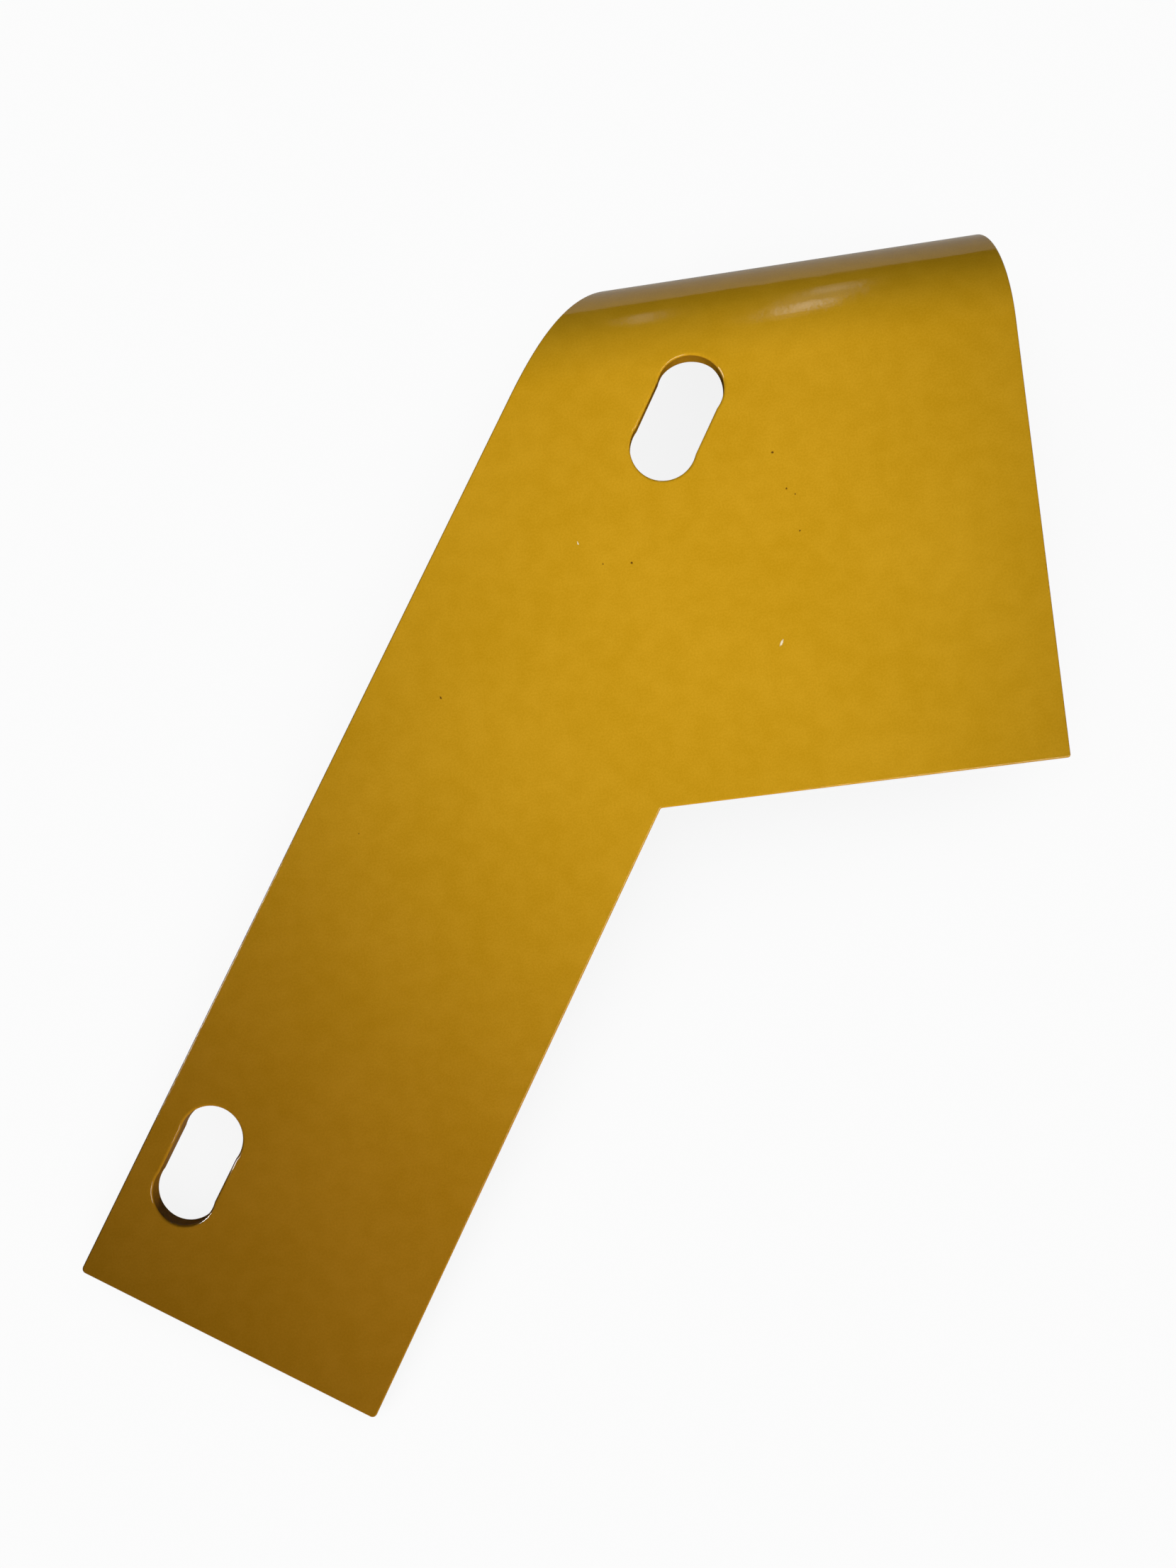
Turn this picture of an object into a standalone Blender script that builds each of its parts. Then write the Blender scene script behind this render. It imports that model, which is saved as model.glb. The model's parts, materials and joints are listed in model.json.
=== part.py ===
"""Bent steel mounting plate: a wide head, a slanted arm and one large-radius flange.

The plate is one piece of 4 mm sheet. Its outline and two obround slots are cut flat, the upper end
of the head is then rolled through a right angle, and the whole piece is painted.

The blank is drawn in its own frame: the origin is the inner corner where the head's lower edge
meets the arm, X runs along the head's lower edge, Y runs towards the bend, and the outer face is at
z = 0 with the sheet below it. The finished plate is laid down as it rests on a level surface, on
the free edge of its flange and the foot of its arm. The world origin is on that surface, under the
middle of the plate's box.
"""

import math

import bmesh
import bpy
from mathutils import Matrix, Vector

MM = 0.001

# Sheet and bend
SHEET = 4.0 * MM
BEND_RADIUS = 28.2 * MM  # to the outer face
BEND_ANGLE = math.radians(90.0)
FLANGE_STRAIGHT = 12.0 * MM  # flat run beyond the bend

# Head
HEAD_WIDTH = 87.4 * MM  # inner corner to the right-hand edge
HEAD_HEIGHT = 93.6 * MM  # lower edge to the start of the bend

# Arm
ARM_LEAN = math.radians(32.2)  # the right-hand edge, away from the head's own direction
ARM_TAPER = math.radians(1.6)  # the left-hand edge leans this much more
ARM_WIDTH = 69.4 * MM  # across the arm at the inner corner
ARM_LENGTH = 149.0 * MM  # along the right-hand edge

# Bolt slots: distances along the arm's right-hand edge from the inner corner, and across from it.
# The head's slot is parallel to that edge, and the foot's to the left-hand edge. The cutter swells
# each round end a little past the straight sides.
SLOT_WIDTH = 14.1 * MM  # between the straight sides
SLOT_END_RADIUS = 7.2 * MM
SLOT_LENGTH = 28.2 * MM
HEAD_SLOT_ALONG = -77.7 * MM
HEAD_SLOT_ACROSS = 32.5 * MM
FOOT_SLOT_ALONG = 115.7 * MM
FOOT_SLOT_ACROSS = 59.5 * MM

# Corner radii of the outline
INNER_CORNER_RADIUS = 0.8 * MM
HEAD_CORNER_RADIUS = 0.6 * MM
FLANGE_CORNER_RADIUS = 1.5 * MM
FOOT_CORNER_RADIUS = 1.1 * MM

# Faceting
BEND_STEPS = 32
CORNER_STEPS = 4
SLOT_END_STEPS = 20

PAINT_COLOUR = (0.53, 0.30, 0.018, 1.0)
PAINT_ROUGHNESS = 0.28


def clear_scene():
    for scene_object in list(bpy.data.objects):
        bpy.data.objects.remove(scene_object, do_unlink=True)


def arm_directions():
    """Unit vectors down the arm's right-hand edge and across it, towards the left-hand edge."""
    along = Vector((-math.sin(ARM_LEAN), -math.cos(ARM_LEAN)))
    across = Vector((-math.cos(ARM_LEAN), math.sin(ARM_LEAN)))
    return along, across


def fillet(before, corner, after, radius):
    """Points of the arc that rounds one corner of an outline."""
    to_before = (before - corner).normalized()
    to_after = (after - corner).normalized()
    half_angle = to_before.angle(to_after) / 2
    centre = corner + (to_before + to_after).normalized() * radius / math.sin(half_angle)
    tangent = radius / math.tan(half_angle)
    first = corner + to_before * tangent - centre
    last = corner + to_after * tangent - centre
    sweep = math.atan2(first.cross(last), first.dot(last))
    points = []
    for step in range(CORNER_STEPS + 1):
        turn = Matrix.Rotation(sweep * step / CORNER_STEPS, 2)
        points.append(centre + turn @ first)
    return points


def blank_outline():
    """The flat blank's outline, anticlockwise from the inner corner."""
    along, across = arm_directions()
    left_start = across * ARM_WIDTH
    left_lean = ARM_LEAN + ARM_TAPER
    left_direction = Vector((-math.sin(left_lean), -math.cos(left_lean)))
    blank_top = HEAD_HEIGHT + BEND_RADIUS * BEND_ANGLE + FLANGE_STRAIGHT

    # The foot is square to the right-hand edge, and the left-hand edge runs on up the bend.
    foot_right = along * ARM_LENGTH
    left_run = ARM_LENGTH / math.cos(ARM_TAPER)
    foot_left = left_start + left_direction * left_run
    top_run = (blank_top - left_start.y) / left_direction.y
    top_left = left_start + left_direction * top_run

    corners = [
        (Vector((0.0, 0.0)), INNER_CORNER_RADIUS),
        (Vector((HEAD_WIDTH, 0.0)), HEAD_CORNER_RADIUS),
        (Vector((HEAD_WIDTH, blank_top)), FLANGE_CORNER_RADIUS),
        (top_left, FLANGE_CORNER_RADIUS),
        (foot_left, FOOT_CORNER_RADIUS),
        (foot_right, FOOT_CORNER_RADIUS),
    ]
    outline = []
    for index, (corner, radius) in enumerate(corners):
        before = corners[index - 1][0]
        after = corners[(index + 1) % len(corners)][0]
        outline.extend(fillet(before, corner, after, radius))
    return outline


def slot_outline(along_distance, across_distance, turn):
    """A slot with two round ends, turned from the arm's right-hand edge by a small angle."""
    along, across = arm_directions()
    middle = along * along_distance + across * across_distance
    rotation = Matrix.Rotation(-turn, 2)
    along = rotation @ along
    across = rotation @ across
    end_centre = SLOT_LENGTH / 2 - SLOT_END_RADIUS
    half_sweep = math.pi - math.asin(SLOT_WIDTH / 2 / SLOT_END_RADIUS)
    points = []
    for end in (1, -1):
        for step in range(SLOT_END_STEPS + 1):
            angle = half_sweep * (2 * step / SLOT_END_STEPS - 1)
            spoke = along * math.cos(angle) + across * math.sin(angle)
            points.append(middle + end * (along * end_centre + spoke * SLOT_END_RADIUS))
    return points


def add_loop(mesh, points):
    """Closed loop of edges on the outer face."""
    vertices = [mesh.verts.new((point.x, point.y, 0.0)) for point in points]
    return [mesh.edges.new((vertices[index - 1], vertices[index])) for index in range(len(vertices))]


def folded(point):
    """Where a point of the flat blank lies once the head's upper end is rolled over."""
    run = point.y - HEAD_HEIGHT
    if run <= 0.0:
        return point.copy()
    angle = min(run / BEND_RADIUS, BEND_ANGLE)
    straight = max(run - BEND_RADIUS * BEND_ANGLE, 0.0)
    radius = BEND_RADIUS + point.z
    return Vector((
        point.x,
        HEAD_HEIGHT + radius * math.sin(angle) + straight * math.cos(angle),
        radius * math.cos(angle) - BEND_RADIUS - straight * math.sin(angle),
    ))


def plate_mesh():
    """Cut the blank and its slots, give it the sheet's thickness and fold it."""
    mesh = bmesh.new()
    edges = add_loop(mesh, blank_outline())
    edges += add_loop(mesh, slot_outline(HEAD_SLOT_ALONG, HEAD_SLOT_ACROSS, 0.0))
    edges += add_loop(mesh, slot_outline(FOOT_SLOT_ALONG, FOOT_SLOT_ACROSS, ARM_TAPER))
    bmesh.ops.triangle_fill(mesh, use_beauty=True, edges=edges)

    # Creases across the blank, one for each facet of the bend
    for step in range(BEND_STEPS + 1):
        crease = HEAD_HEIGHT + BEND_RADIUS * BEND_ANGLE * step / BEND_STEPS
        bmesh.ops.bisect_plane(
            mesh,
            geom=mesh.verts[:] + mesh.edges[:] + mesh.faces[:],
            plane_co=(0.0, crease, 0.0),
            plane_no=(0.0, 1.0, 0.0),
        )

    underside = bmesh.ops.extrude_face_region(mesh, geom=mesh.faces[:])
    for element in underside["geom"]:
        if isinstance(element, bmesh.types.BMVert):
            element.co.z -= SHEET
    bmesh.ops.recalc_face_normals(mesh, faces=mesh.faces[:])
    for vertex in mesh.verts:
        vertex.co = folded(vertex.co)
    return mesh


def rest_rotation():
    """Tilt that brings the flange's free edge and the arm's foot down to one level surface."""
    along, _ = arm_directions()
    toe_y = along.y * ARM_LENGTH
    heel = folded(Vector((0.0, HEAD_HEIGHT + BEND_RADIUS * BEND_ANGLE + FLANGE_STRAIGHT, -SHEET)))
    tilt = math.atan2(-SHEET - heel.z, heel.y - toe_y)
    return Matrix.Rotation(tilt, 4, "X")


def paint():
    material = bpy.data.materials.new("ochre_paint")
    material.use_nodes = True
    shader = material.node_tree.nodes["Principled BSDF"]
    shader.inputs["Base Color"].default_value = PAINT_COLOUR
    shader.inputs["Roughness"].default_value = PAINT_ROUGHNESS
    shader.inputs["Metallic"].default_value = 0.0
    return material


def main():
    clear_scene()
    mesh = plate_mesh()
    rotation = rest_rotation()
    bmesh.ops.transform(mesh, matrix=rotation, verts=mesh.verts[:])

    # The origin goes under the middle of the box, on the surface that the plate rests on.
    lows = [min(vertex.co[axis] for vertex in mesh.verts) for axis in range(3)]
    highs = [max(vertex.co[axis] for vertex in mesh.verts) for axis in range(3)]
    base = Vector(((lows[0] + highs[0]) / 2, (lows[1] + highs[1]) / 2, lows[2]))
    bmesh.ops.translate(mesh, vec=-base, verts=mesh.verts[:])

    data = bpy.data.meshes.new("bent_plate")
    mesh.to_mesh(data)
    mesh.free()
    data.materials.append(paint())
    data.shade_smooth()
    data.set_sharp_from_angle(angle=math.radians(30.0))
    plate = bpy.data.objects.new("bent_plate", data)
    bpy.context.scene.collection.objects.link(plate)


main()
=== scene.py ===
"""Looks of the bent mounting plate: painted sheet with rounded edges, lights, floor and camera."""

import json
import math

import bmesh
import bpy
from mathutils import Matrix, Vector


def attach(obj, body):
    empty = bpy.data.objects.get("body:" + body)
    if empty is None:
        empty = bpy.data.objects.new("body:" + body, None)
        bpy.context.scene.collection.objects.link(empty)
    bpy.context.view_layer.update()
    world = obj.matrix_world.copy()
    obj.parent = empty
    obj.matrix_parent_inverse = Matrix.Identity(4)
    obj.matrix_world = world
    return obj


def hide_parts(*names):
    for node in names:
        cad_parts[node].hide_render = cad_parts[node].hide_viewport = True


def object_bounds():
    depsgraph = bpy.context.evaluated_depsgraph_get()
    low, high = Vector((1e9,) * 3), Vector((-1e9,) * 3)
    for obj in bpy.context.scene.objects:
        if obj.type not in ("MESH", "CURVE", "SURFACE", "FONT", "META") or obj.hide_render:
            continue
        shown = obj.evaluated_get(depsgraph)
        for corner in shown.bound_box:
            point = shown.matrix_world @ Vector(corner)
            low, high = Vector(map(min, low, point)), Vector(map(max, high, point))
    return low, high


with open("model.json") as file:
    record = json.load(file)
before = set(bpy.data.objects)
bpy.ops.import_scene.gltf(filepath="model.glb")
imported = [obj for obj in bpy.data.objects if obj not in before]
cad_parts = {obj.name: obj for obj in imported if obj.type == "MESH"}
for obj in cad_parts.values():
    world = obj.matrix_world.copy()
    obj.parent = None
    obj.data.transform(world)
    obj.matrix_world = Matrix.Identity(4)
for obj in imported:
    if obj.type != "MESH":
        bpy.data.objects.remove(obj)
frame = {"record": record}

MM = 0.001

# Driving sizes of the plate, the same as its CAD solid's
SHEET = 4.0 * MM
BEND_RADIUS = 28.2 * MM
BEND_ANGLE = math.radians(90.0)
FLANGE_STRAIGHT = 12.0 * MM
HEAD_WIDTH = 87.4 * MM
HEAD_HEIGHT = 93.6 * MM
ARM_LEAN = math.radians(32.2)
ARM_TAPER = math.radians(1.6)
ARM_WIDTH = 69.4 * MM
ARM_LENGTH = 149.0 * MM
SLOT_WIDTH = 14.1 * MM
SLOT_END_RADIUS = 7.2 * MM
SLOT_LENGTH = 28.2 * MM
HEAD_SLOT_ALONG = -77.7 * MM
HEAD_SLOT_ACROSS = 32.5 * MM
FOOT_SLOT_ALONG = 115.7 * MM
FOOT_SLOT_ACROSS = 59.5 * MM
INNER_CORNER_RADIUS = 0.8 * MM
HEAD_CORNER_RADIUS = 0.6 * MM
FLANGE_CORNER_RADIUS = 1.5 * MM
FOOT_CORNER_RADIUS = 1.1 * MM

# Rounding of the painted edges: how far it reaches into the face, and down the wall
OUTLINE_ROUNDING = (0.40 * MM, 0.40 * MM)
SLOT_ROUNDING = (0.65 * MM, 0.50 * MM)

# Fineness of the mesh
BEND_STEPS = 96
CORNER_STEPS = 8
SLOT_END_STEPS = 48
ROUNDING_STEPS = 6

# Camera, in the blank's frame: place, roll, pitch and yaw, lens
CAMERA_PLACE = Vector((-0.3, 7.9, 245.6)) * MM
CAMERA_ROLL = math.radians(7.20)
CAMERA_PITCH = math.radians(0.17)
CAMERA_YAW = math.radians(-3.42)
CAMERA_LENS = 26.04

# Stage: brightness of the floor and the backdrop to the camera, and of the room to everything else,
# and how far the painted shadow of the plate reaches over the floor
WHITE = (1.0, 1.0, 1.0, 1.0)
PAPER_GREY = (0.44, 0.41, 0.37, 1.0)
BACKDROP = 0.97
ROOM = 0.012
PAINTED_SHADOW_REACH = 0.08

# Paint: pigment, and the part of the noise's range that shades it
OCHRE_DEEP = (0.548, 0.309, 0.0060, 1.0)
OCHRE_LIGHT = (0.658, 0.382, 0.0170, 1.0)
SHADE_RANGE = (0.3, 0.7)

# Paint: size of each kind of unevenness, its share of the shade, and the noise's detail
CLOUDS = (30.0 * MM, 0.27, 3.0)
PATCHES = (4.5 * MM, 0.28, 3.0)
GRAIN = (0.4 * MM, 0.45, 2.0)

# Paint: painted shade on the cut walls, a brown mixed into their colour, and its share, and how far
# from the sheet's middle the wall gives way to the face
WALL_SHADE_BROWN = (0.28, 0.12, 0.005, 1.0)
WALL_SHADE_SHARE = 0.5
WALL_FADE = (1.75 * MM, 1.45 * MM)

# Paint: gloss on the faces, where smudges dull it, and how much duller the walls are
GLOSS_ROUGHNESS = 0.075
SMUDGE_ROUGHNESS = 0.13
SMUDGE_SIZE = 18.0 * MM
WALL_ROUGHNESS = 0.18

# Paint: relief. Each kind has its size across, its height against the others and its detail.
RELIEF_DISTANCE = 0.02 * MM
RELIEF_STRENGTH = 0.6
COARSE_PEEL = (1.4 * MM, 0.9, 1.0)
FINE_PEEL = (0.5 * MM, 0.25, 1.0)
WALL_RIDGES = (0.6 * MM, 4.0, 2.0)
WAVES = (9.0 * MM, 5.0, 1.0)
ROLLING = (1.6 * MM, 1.2, 2.0)

# Ridges run down the walls and rolling marks along the bend: both are squeezed to a share of their
# length in that direction. Rolling marks begin a little before the bend does.
DOWN_WALL = (1.0, 1.0, 0.12)
ALONG_BEND = (0.05, 1.0, 1.0)
ROLLING_BEGINS = (88.0 * MM, 98.0 * MM)

# Grit scattered under the paint. The core is the share of a speck or mark that is fully dark.
SPECK_BROWN = (0.14, 0.055, 0.004, 1.0)
SPECK_SPACING = 11.0 * MM
SPECK_RADIUS = 0.22 * MM
SPECK_THRESHOLD = 0.55
SPECK_STRENGTH = 0.75
SPECK_CORE = 0.4

# Marks with a place of their own, by place in the blank and radius in millimetres. The last three
# are drawn out: by how much, and how many degrees they lean from the head's lower edge.
CHIP_WHITE = (0.95, 0.88, 0.62, 1.0)
MARKS = (
    (SPECK_BROWN, (33.2, 72.7), 0.34, 1.0, 0.0),
    (SPECK_BROWN, (35.2, 64.6), 0.28, 1.0, 0.0),
    (SPECK_BROWN, (36.9, 63.2), 0.20, 1.0, 0.0),
    (SPECK_BROWN, (36.9, 55.3), 0.24, 1.0, 0.0),
    (SPECK_BROWN, (0.4, 53.4), 0.30, 1.0, 0.0),
    (SPECK_BROWN, (-5.8, 54.0), 0.20, 1.0, 0.0),
    (SPECK_BROWN, (-44.6, 29.9), 0.22, 2.2, 110.0),
    (CHIP_WHITE, (30.1, 32.0), 0.30, 3.0, 58.0),
    (CHIP_WHITE, (-10.6, 59.2), 0.16, 2.5, 105.0),
)
MARK_RAGGEDNESS = 0.3 * MM
MARK_CORE = 0.5


# ---------------------------------------------------------------- frame


def mount(name):
    return next(entry for entry in frame["record"]["mounts"] if entry["name"] == name)


def blank_frame():
    """Where the blank lies: origin at the inner corner, X along the bend, Z out of the face."""
    face = mount("outer_face")
    out = Vector(face["axis"]).normalized()
    right = Vector(mount("flange_face")["axis"]).cross(out).normalized()
    over = out.cross(right)
    rotation = Matrix((right, over, out)).transposed()
    face_middle = Vector((HEAD_WIDTH / 2, HEAD_HEIGHT / 2, 0.0))
    origin = Vector(face["pos_m"]) - rotation @ face_middle
    return Matrix.Translation(origin) @ rotation.to_4x4()


# ---------------------------------------------------------------- outline


def arm_directions():
    """Unit vectors down the arm's right-hand edge and across it, towards the left-hand edge."""
    along = Vector((-math.sin(ARM_LEAN), -math.cos(ARM_LEAN)))
    across = Vector((-math.cos(ARM_LEAN), math.sin(ARM_LEAN)))
    return along, across


def fillet(before, corner, after, radius):
    """(point, direction out of the sheet) along the arc that rounds one corner."""
    to_before = (before - corner).normalized()
    to_after = (after - corner).normalized()
    half_angle = to_before.angle(to_after) / 2
    centre = corner + (to_before + to_after).normalized() * radius / math.sin(half_angle)
    tangent = radius / math.tan(half_angle)
    first = corner + to_before * tangent - centre
    last = corner + to_after * tangent - centre
    sweep = math.atan2(first.cross(last), first.dot(last))
    outwards = 1.0 if sweep > 0.0 else -1.0
    points = []
    for step in range(CORNER_STEPS + 1):
        spoke = Matrix.Rotation(sweep * step / CORNER_STEPS, 2) @ first
        points.append((centre + spoke, spoke.normalized() * outwards))
    return points


def blank_outline():
    """The flat blank's outline with its outward directions, anticlockwise."""
    along, across = arm_directions()
    left_start = across * ARM_WIDTH
    left_lean = ARM_LEAN + ARM_TAPER
    left_direction = Vector((-math.sin(left_lean), -math.cos(left_lean)))
    blank_top = HEAD_HEIGHT + BEND_RADIUS * BEND_ANGLE + FLANGE_STRAIGHT
    foot_left = left_start + left_direction * ARM_LENGTH / math.cos(ARM_TAPER)
    top_left = left_start + left_direction * (blank_top - left_start.y) / left_direction.y
    corners = [
        (Vector((0.0, 0.0)), INNER_CORNER_RADIUS),
        (Vector((HEAD_WIDTH, 0.0)), HEAD_CORNER_RADIUS),
        (Vector((HEAD_WIDTH, blank_top)), FLANGE_CORNER_RADIUS),
        (top_left, FLANGE_CORNER_RADIUS),
        (foot_left, FOOT_CORNER_RADIUS),
        (along * ARM_LENGTH, FOOT_CORNER_RADIUS),
    ]
    outline = []
    for index, (corner, radius) in enumerate(corners):
        before = corners[index - 1][0]
        after = corners[(index + 1) % len(corners)][0]
        outline.extend(fillet(before, corner, after, radius))
    return outline


def slot_outline(along_distance, across_distance, turn):
    """One slot with its directions out of the sheet, into the hole."""
    along, across = arm_directions()
    middle = along * along_distance + across * across_distance
    rotation = Matrix.Rotation(-turn, 2)
    along = rotation @ along
    across = rotation @ across
    end_centre = SLOT_LENGTH / 2 - SLOT_END_RADIUS
    half_sweep = math.pi - math.asin(SLOT_WIDTH / 2 / SLOT_END_RADIUS)
    points = []
    for end in (1, -1):
        for step in range(SLOT_END_STEPS + 1):
            angle = half_sweep * (2 * step / SLOT_END_STEPS - 1)
            spoke = (along * math.cos(angle) + across * math.sin(angle)) * end
            points.append((middle + along * end * end_centre + spoke * SLOT_END_RADIUS, -spoke))
    return points


# ---------------------------------------------------------------- mesh


def edge_profile(rounding):
    """Inset, height, and outward and upward share of the normal of each ring, from face to back."""
    reach, depth = rounding
    upper = []
    for step in range(ROUNDING_STEPS + 1):
        angle = math.pi / 2 * step / ROUNDING_STEPS
        slope = Vector((depth * math.sin(angle), reach * math.cos(angle))).normalized()
        inset = reach * (1 - math.sin(angle))
        height = depth * (math.cos(angle) - 1)
        upper.append((inset, height, slope.x, slope.y))
    lower = [(inset, -SHEET - height, out, -up) for inset, height, out, up in reversed(upper)]
    return upper + lower


def add_edge(mesh, normals, outline, rounding):
    """Rings of faces round one outline, and the loops of edges on the outer face and the back."""
    rings = []
    for inset, height, out, up in edge_profile(rounding):
        ring = []
        for point, outwards in outline:
            place = point - outwards * inset
            vertex = mesh.verts.new((place.x, place.y, height))
            vertex[normals] = (outwards.x * out, outwards.y * out, up)
            ring.append(vertex)
        rings.append(ring)
    count = len(outline)
    for upper, lower in zip(rings, rings[1:]):
        for index in range(count):
            mesh.faces.new((upper[index - 1], lower[index - 1], lower[index], upper[index]))
    ends = []
    for ring in (rings[0], rings[-1]):
        ends.append([mesh.edges.get((ring[index - 1], ring[index])) for index in range(count)])
    return ends


def bend_turn(height_in_blank):
    """Angle through which the bend has turned at a height in the blank."""
    run = height_in_blank - HEAD_HEIGHT
    return min(max(run / BEND_RADIUS, 0.0), BEND_ANGLE)


def folded(point):
    """Where a point of the flat blank lies once the head's upper end is rolled over."""
    angle = bend_turn(point.y)
    if angle == 0.0:
        return point.copy()
    straight = max(point.y - HEAD_HEIGHT - BEND_RADIUS * BEND_ANGLE, 0.0)
    radius = BEND_RADIUS + point.z
    return Vector((
        point.x,
        HEAD_HEIGHT + radius * math.sin(angle) + straight * math.cos(angle),
        radius * math.cos(angle) - BEND_RADIUS - straight * math.sin(angle),
    ))


def plate_mesh():
    """The sheet, cut flat with rounded edges, then folded and placed, with its exact normals."""
    mesh = bmesh.new()
    normals = mesh.verts.layers.float_vector.new("sheet_normal")
    blank = mesh.verts.layers.float_vector.new("blank")
    outlines = [
        (blank_outline(), OUTLINE_ROUNDING),
        (slot_outline(HEAD_SLOT_ALONG, HEAD_SLOT_ACROSS, 0.0), SLOT_ROUNDING),
        (slot_outline(FOOT_SLOT_ALONG, FOOT_SLOT_ACROSS, ARM_TAPER), SLOT_ROUNDING),
    ]
    faces = ([], [])
    for outline, rounding in outlines:
        for side, loop in zip(faces, add_edge(mesh, normals, outline, rounding)):
            side.extend(loop)
    for side in faces:
        bmesh.ops.triangle_fill(mesh, use_beauty=True, edges=side)

    # Creases across the sheet, one for each facet of the bend
    for step in range(BEND_STEPS + 1):
        crease = HEAD_HEIGHT + BEND_RADIUS * BEND_ANGLE * step / BEND_STEPS
        near = [face for face in mesh.faces if max(vertex.co.y for vertex in face.verts) > crease]
        parts = set(near)
        for face in near:
            parts.update(face.edges)
            parts.update(face.verts)
        bmesh.ops.bisect_plane(
            mesh, geom=list(parts), plane_co=(0.0, crease, 0.0), plane_no=(0.0, 1.0, 0.0)
        )
    bmesh.ops.recalc_face_normals(mesh, faces=mesh.faces[:])

    placed = blank_frame()
    for vertex in mesh.verts:
        turn = placed.to_3x3() @ Matrix.Rotation(-bend_turn(vertex.co.y), 3, "X")
        vertex[normals] = turn @ vertex[normals].normalized()
        vertex[blank] = vertex.co
        vertex.co = placed @ folded(vertex.co)
    return mesh


def add_plate():
    mesh = plate_mesh()
    data = bpy.data.meshes.new("painted_plate")
    mesh.to_mesh(data)
    mesh.free()
    data.shade_smooth()
    stored = data.attributes["sheet_normal"].data
    data.normals_split_custom_set_from_vertices([tuple(item.vector) for item in stored])
    plate = bpy.data.objects.new("painted_plate", data)
    bpy.context.scene.collection.objects.link(plate)
    plate.data.materials.append(ochre_paint())
    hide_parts("bent_plate")
    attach(plate, "root")


# ---------------------------------------------------------------- materials


class Weave:
    """Short names for the nodes and links of one material."""

    def __init__(self, name):
        self.material = bpy.data.materials.new(name)
        self.material.use_nodes = True
        self.nodes = self.material.node_tree.nodes
        self.links = self.material.node_tree.links
        self.shader = self.nodes["Principled BSDF"]

    def put(self, socket, value):
        """Set a socket to a number, a colour or another node's output."""
        if isinstance(value, bpy.types.NodeSocket):
            self.links.new(value, socket)
        else:
            socket.default_value = value

    def math(self, operation, first, second=0.0, third=0.0):
        node = self.nodes.new("ShaderNodeMath")
        node.operation = operation
        for socket, value in zip(node.inputs, (first, second, third)):
            self.put(socket, value)
        return node.outputs["Value"]

    def vector_math(self, operation, first, second):
        node = self.nodes.new("ShaderNodeVectorMath")
        node.operation = operation
        self.put(node.inputs[0], first)
        self.put(node.inputs[1], second)
        return node.outputs["Value" if operation == "DISTANCE" else "Vector"]

    def ramp(self, value, low, high, at_low=0.0, at_high=1.0):
        """Smooth change from one number to another as the value goes from low to high."""
        node = self.nodes.new("ShaderNodeMapRange")
        node.interpolation_type = "SMOOTHSTEP"
        self.put(node.inputs["Value"], value)
        self.put(node.inputs["From Min"], low)
        self.put(node.inputs["From Max"], high)
        self.put(node.inputs["To Min"], at_low)
        self.put(node.inputs["To Max"], at_high)
        return node.outputs["Result"]

    def noise(self, place, size, detail=2.0):
        """Smooth noise whose patches are about one size across."""
        node = self.nodes.new("ShaderNodeTexNoise")
        self.put(node.inputs["Vector"], place)
        node.inputs["Scale"].default_value = 1.0 / size
        node.inputs["Detail"].default_value = detail
        return node.outputs["Fac"]

    def mix(self, amount, first, second):
        node = self.nodes.new("ShaderNodeMix")
        node.data_type = "RGBA"
        self.put(node.inputs["Factor"], amount)
        self.put(node.inputs[6], first)
        self.put(node.inputs[7], second)
        return node.outputs[2]


def add_specks(paint, place, colour):
    """Grit under the paint: a small dark dot in some of the cells of a coarse grid."""
    cells = paint.nodes.new("ShaderNodeTexVoronoi")
    paint.put(cells.inputs["Vector"], place)
    cells.inputs["Scale"].default_value = 1.0 / SPECK_SPACING
    chosen = paint.nodes.new("ShaderNodeSeparateColor")
    paint.put(chosen.inputs["Color"], cells.outputs["Color"])
    largest = SPECK_RADIUS / SPECK_SPACING
    radius = paint.ramp(chosen.outputs["Red"], SPECK_THRESHOLD, 1.0, 0.0, largest)
    core = paint.math("MULTIPLY", radius, SPECK_CORE)
    dot = paint.ramp(cells.outputs["Distance"], radius, core)
    return paint.mix(paint.math("MULTIPLY", dot, SPECK_STRENGTH), colour, SPECK_BROWN)


def add_mark(paint, place, colour, mark):
    """One mark with a place of its own, and a ragged rim."""
    mark_colour, middle, radius, stretch, lean = mark
    turned = paint.nodes.new("ShaderNodeMapping")
    turned.vector_type = "TEXTURE"
    turned.inputs["Location"].default_value = (middle[0] * MM, middle[1] * MM, 0.0)
    turned.inputs["Rotation"].default_value = (0.0, 0.0, math.radians(lean))
    turned.inputs["Scale"].default_value = (stretch, 1.0, 1.0)
    paint.put(turned.inputs["Vector"], place)
    noise = paint.noise(place, MARK_RAGGEDNESS)
    ragged = paint.math("MULTIPLY_ADD", noise, MARK_RAGGEDNESS, -MARK_RAGGEDNESS / 2)
    away = paint.vector_math("DISTANCE", turned.outputs["Vector"], (0.0, 0.0, 0.0))
    away = paint.math("ADD", away, ragged)
    inside = paint.ramp(away, radius * MM, radius * MM * MARK_CORE)
    return paint.mix(inside, colour, mark_colour)


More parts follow.
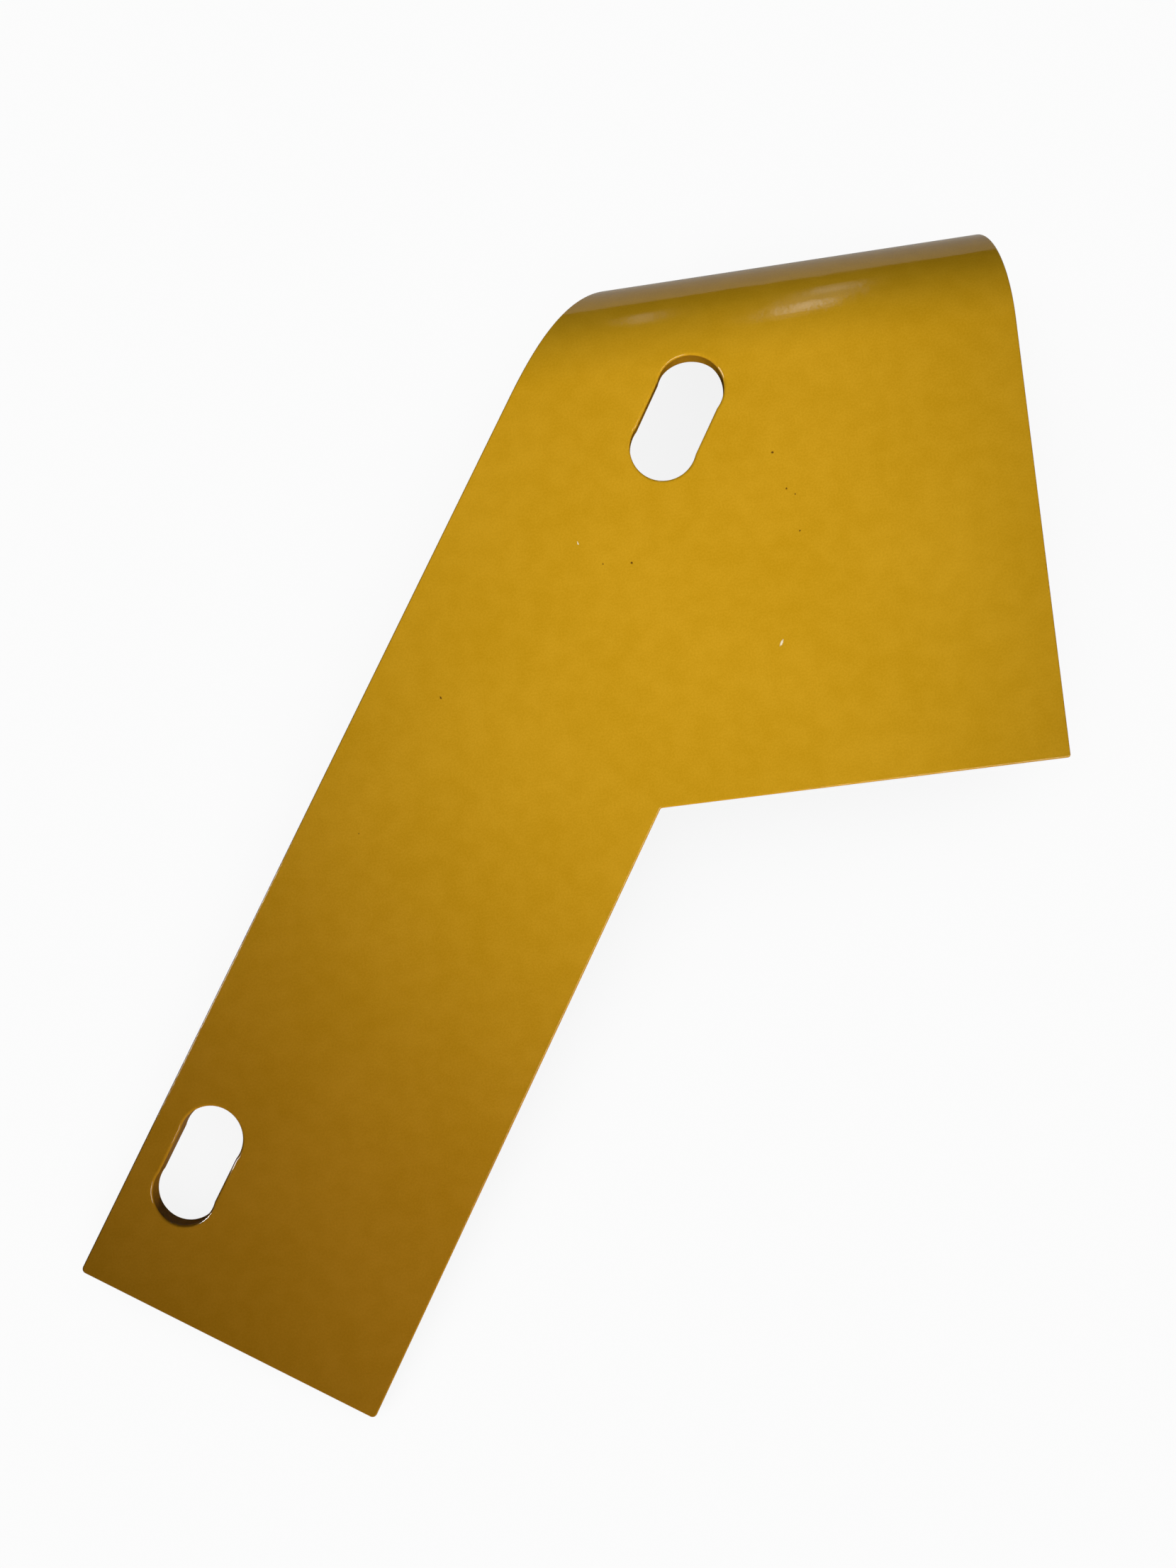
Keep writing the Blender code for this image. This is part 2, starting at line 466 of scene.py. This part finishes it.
def paint_relief(paint, place, parts, wall):
    """Orange peel and slow waves on the faces, cutting ridges down the walls, and rolling marks."""
    down_wall = paint.vector_math("MULTIPLY", place, DOWN_WALL)
    along_bend = paint.vector_math("MULTIPLY", place, ALONG_BEND)
    on_bend = paint.ramp(parts.outputs["Y"], *ROLLING_BEGINS)
    relief = 0.0
    for (size, height, detail), where, mask in (
        (COARSE_PEEL, place, 1.0),
        (FINE_PEEL, place, 1.0),
        (WALL_RIDGES, down_wall, wall),
        (WAVES, place, 1.0),
        (ROLLING, along_bend, on_bend),
    ):
        layer = paint.math("MULTIPLY", paint.noise(where, size, detail), mask)
        relief = paint.math("MULTIPLY_ADD", layer, height, relief)
    return relief


def ochre_paint():
    """Gloss paint with orange peel, uneven pigment, grit and a chip, and striated cut walls
    darkened with painted shade.
    """
    paint = Weave("ochre_paint")
    attribute = paint.nodes.new("ShaderNodeAttribute")
    attribute.attribute_name = "blank"
    place = attribute.outputs["Vector"]

    # The cut walls lie between the two faces.
    parts = paint.nodes.new("ShaderNodeSeparateXYZ")
    paint.put(parts.inputs["Vector"], place)
    depth = paint.math("ABSOLUTE", paint.math("ADD", parts.outputs["Z"], SHEET / 2))
    wall = paint.ramp(depth, *WALL_FADE)

    # Pigment
    shade = 0.0
    for size, share, detail in (CLOUDS, PATCHES, GRAIN):
        pattern = paint.ramp(paint.noise(place, size, detail), *SHADE_RANGE)
        shade = paint.math("MULTIPLY_ADD", pattern, share, shade)
    colour = paint.mix(shade, OCHRE_DEEP, OCHRE_LIGHT)
    # Painted shade: the cut walls are mixed towards brown, standing in for the shade they lie in
    colour = paint.mix(paint.math("MULTIPLY", wall, WALL_SHADE_SHARE), colour, WALL_SHADE_BROWN)
    colour = add_specks(paint, place, colour)
    for mark in MARKS:
        colour = add_mark(paint, place, colour, mark)
    paint.put(paint.shader.inputs["Base Color"], colour)

    # Gloss
    smudges = paint.noise(place, SMUDGE_SIZE, 4.0)
    roughness = paint.ramp(smudges, 0.35, 0.7, GLOSS_ROUGHNESS, SMUDGE_ROUGHNESS)
    roughness = paint.math("MULTIPLY_ADD", wall, WALL_ROUGHNESS, roughness)
    paint.put(paint.shader.inputs["Roughness"], roughness)
    paint.shader.inputs["IOR"].default_value = 1.5

    bump = paint.nodes.new("ShaderNodeBump")
    bump.inputs["Strength"].default_value = RELIEF_STRENGTH
    bump.inputs["Distance"].default_value = RELIEF_DISTANCE
    paint.put(bump.inputs["Height"], paint_relief(paint, place, parts, wall))
    paint.put(paint.shader.inputs["Normal"], bump.outputs["Normal"])
    return paint.material


def floor_paper():
    """Pale floor that glows evenly, with a painted shadow where the plate lies close above it.

    The camera sees it near white, a little dimmer in the painted shadow. The paint's gloss sees a
    warm grey, painted dark under the plate.
    """
    material = bpy.data.materials.new("floor_paper")
    material.use_nodes = True
    nodes = material.node_tree.nodes
    links = material.node_tree.links
    nodes.clear()
    painted_shadow_cover = nodes.new("ShaderNodeAmbientOcclusion")
    painted_shadow_cover.inputs["Distance"].default_value = PAINTED_SHADOW_REACH

    def glow(colour, covered_at, covered_strength, open_strength):
        """Light from the floor, with a painted shadow: from its strength where covered to that in
        the open.
        """
        strength = nodes.new("ShaderNodeMapRange")
        strength.inputs["From Min"].default_value = covered_at
        strength.inputs["From Max"].default_value = 0.9
        strength.inputs["To Min"].default_value = covered_strength
        strength.inputs["To Max"].default_value = open_strength
        links.new(painted_shadow_cover.outputs["AO"], strength.inputs["Value"])
        emission = nodes.new("ShaderNodeEmission")
        emission.inputs["Color"].default_value = colour
        links.new(strength.outputs["Result"], emission.inputs["Strength"])
        return emission.outputs["Emission"]

    def choose(ray, otherwise, chosen):
        """One surface for a kind of ray, and the other for the rest."""
        switch = nodes.new("ShaderNodeMixShader")
        links.new(path.outputs[ray], switch.inputs["Fac"])
        links.new(otherwise, switch.inputs[1])
        links.new(chosen, switch.inputs[2])
        return switch.outputs["Shader"]

    path = nodes.new("ShaderNodeLightPath")
    paper = nodes.new("ShaderNodeBsdfDiffuse")
    paper.inputs["Color"].default_value = (0.8, 0.8, 0.8, 1.0)
    # Painted shadow: both glows dim where the plate covers the floor
    white = glow(WHITE, covered_at=0.1, covered_strength=0.87, open_strength=BACKDROP)
    grey = glow(PAPER_GREY, covered_at=0.45, covered_strength=0.0, open_strength=1.0)
    surface = choose("Is Glossy Ray", paper.outputs["BSDF"], grey)
    surface = choose("Is Camera Ray", surface, white)
    output = nodes.new("ShaderNodeOutputMaterial")
    links.new(surface, output.inputs["Surface"])
    return material


# ---------------------------------------------------------------- stage


def add_floor():
    mesh = bmesh.new()
    bmesh.ops.create_grid(mesh, x_segments=1, y_segments=1, size=4.0)
    data = bpy.data.meshes.new("floor")
    mesh.to_mesh(data)
    mesh.free()
    floor = bpy.data.objects.new("floor", data)
    bpy.context.scene.collection.objects.link(floor)
    low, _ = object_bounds()
    floor.location.z = low.z
    data.materials.append(floor_paper())


def aim(thing, place, target):
    thing.location = place
    thing.rotation_mode = "QUATERNION"
    thing.rotation_quaternion = (Vector(target) - Vector(place)).to_track_quat("-Z", "Y")


def add_light(name, kind, place, target, power, colour):
    light = bpy.data.lights.new(name, kind)
    light.energy = power
    light.color = colour
    lamp = bpy.data.objects.new(name, light)
    bpy.context.scene.collection.objects.link(lamp)
    aim(lamp, place, target)
    return lamp


def add_spot(name, place, target, cone, power, colour):
    """Spotlight with a soft rim and a cone in degrees, which doesn't show in the paint's gloss."""
    lamp = add_light(name, "SPOT", place, target, power, colour)
    lamp.data.spot_size = math.radians(cone)
    lamp.data.spot_blend = 1.0
    lamp.data.shadow_soft_size = 0.05
    lamp.visible_glossy = False
    lamp.data.cycles.use_multiple_importance_sampling = False


def add_glint(name, place, target, size, power):
    """Panel that shows in the paint's gloss and lights nothing."""
    lamp = add_light(name, "AREA", place, target, power, WHITE[:3])
    lamp.data.shape = "ELLIPSE"
    lamp.data.size, lamp.data.size_y = size
    lamp.visible_diffuse = False


def add_lights():
    # Light on the faces
    add_spot(
        "key", place=(0.05, -0.20, 0.40), target=(0.045, 0.055, 0.03),
        cone=40.0, power=2.71, colour=(0.823, 1.0, 0.834),
    )
    add_spot(
        "top_left", place=(0.03, 0.07, 0.25), target=(0.03, 0.07, 0.03),
        cone=90.0, power=0.39, colour=(1.0, 0.785, 0.72),
    )
    add_spot(
        "top_right", place=(0.06, 0.07, 0.25), target=(0.06, 0.07, 0.03),
        cone=90.0, power=0.525, colour=(1.0, 0.953, 0.81),
    )
    add_spot(
        "fill", place=(0.134, -0.535, 0.29), target=(-0.034, 0.098, 0.02),
        cone=45.0, power=10.2, colour=(1.0, 0.771, 0.93),
    )

    # Windows and a lamp that show in the bend
    bend = (0.073, 0.102, 0.036)
    bend_left = (0.035, 0.105, 0.035)
    add_glint("window", (0.245, 0.93, 0.57), bend, size=(0.08, 0.50), power=0.055)
    add_glint("window_core", (0.243, 0.93, 0.67), bend, size=(0.035, 0.20), power=0.046)
    add_glint("window_low", (0.249, 0.95, 0.35), bend, size=(0.045, 0.16), power=0.012)
    add_glint("lamp", (0.072, 1.05, 0.43), bend_left, size=(0.03, 0.26), power=0.024)

    # Panels that show in the rounded edges
    middle = (0.0, 0.0, 0.02)
    add_glint("rim_front", (0.50, -0.55, 0.75), middle, size=(0.90, 0.20), power=5.4)
    add_glint("rim_left", (-0.77, -0.01, 0.68), middle, size=(0.32, 0.20), power=5.6)


def add_world():
    """Dark room behind a pale backdrop that only the camera sees."""
    world = bpy.data.worlds.new("studio")
    bpy.context.scene.world = world
    world.use_nodes = True
    nodes = world.node_tree.nodes
    links = world.node_tree.links
    room = nodes["Background"]
    room.inputs["Color"].default_value = WHITE
    room.inputs["Strength"].default_value = ROOM
    backdrop = nodes.new("ShaderNodeBackground")
    backdrop.inputs["Color"].default_value = WHITE
    backdrop.inputs["Strength"].default_value = BACKDROP
    path = nodes.new("ShaderNodeLightPath")
    seen = nodes.new("ShaderNodeMixShader")
    links.new(path.outputs["Is Camera Ray"], seen.inputs["Fac"])
    links.new(room.outputs["Background"], seen.inputs[1])
    links.new(backdrop.outputs["Background"], seen.inputs[2])
    links.new(seen.outputs["Shader"], nodes["World Output"].inputs["Surface"])


def add_camera():
    data = bpy.data.cameras.new("camera")
    data.lens = CAMERA_LENS
    data.sensor_width = 36.0
    data.clip_start = 0.01
    camera = bpy.data.objects.new("camera", data)
    bpy.context.scene.collection.objects.link(camera)
    look = (
        Matrix.Rotation(CAMERA_ROLL, 3, "Z")
        @ Matrix.Rotation(CAMERA_PITCH, 3, "X")
        @ Matrix.Rotation(CAMERA_YAW, 3, "Y")
    )
    in_blank = Matrix.Translation(CAMERA_PLACE) @ look.transposed().to_4x4()
    camera.matrix_world = blank_frame() @ in_blank
    bpy.context.scene.camera = camera


def main():
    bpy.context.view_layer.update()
    add_plate()
    add_floor()
    add_world()
    add_lights()
    add_camera()
    bpy.context.scene.view_settings.view_transform = "Standard"


main()
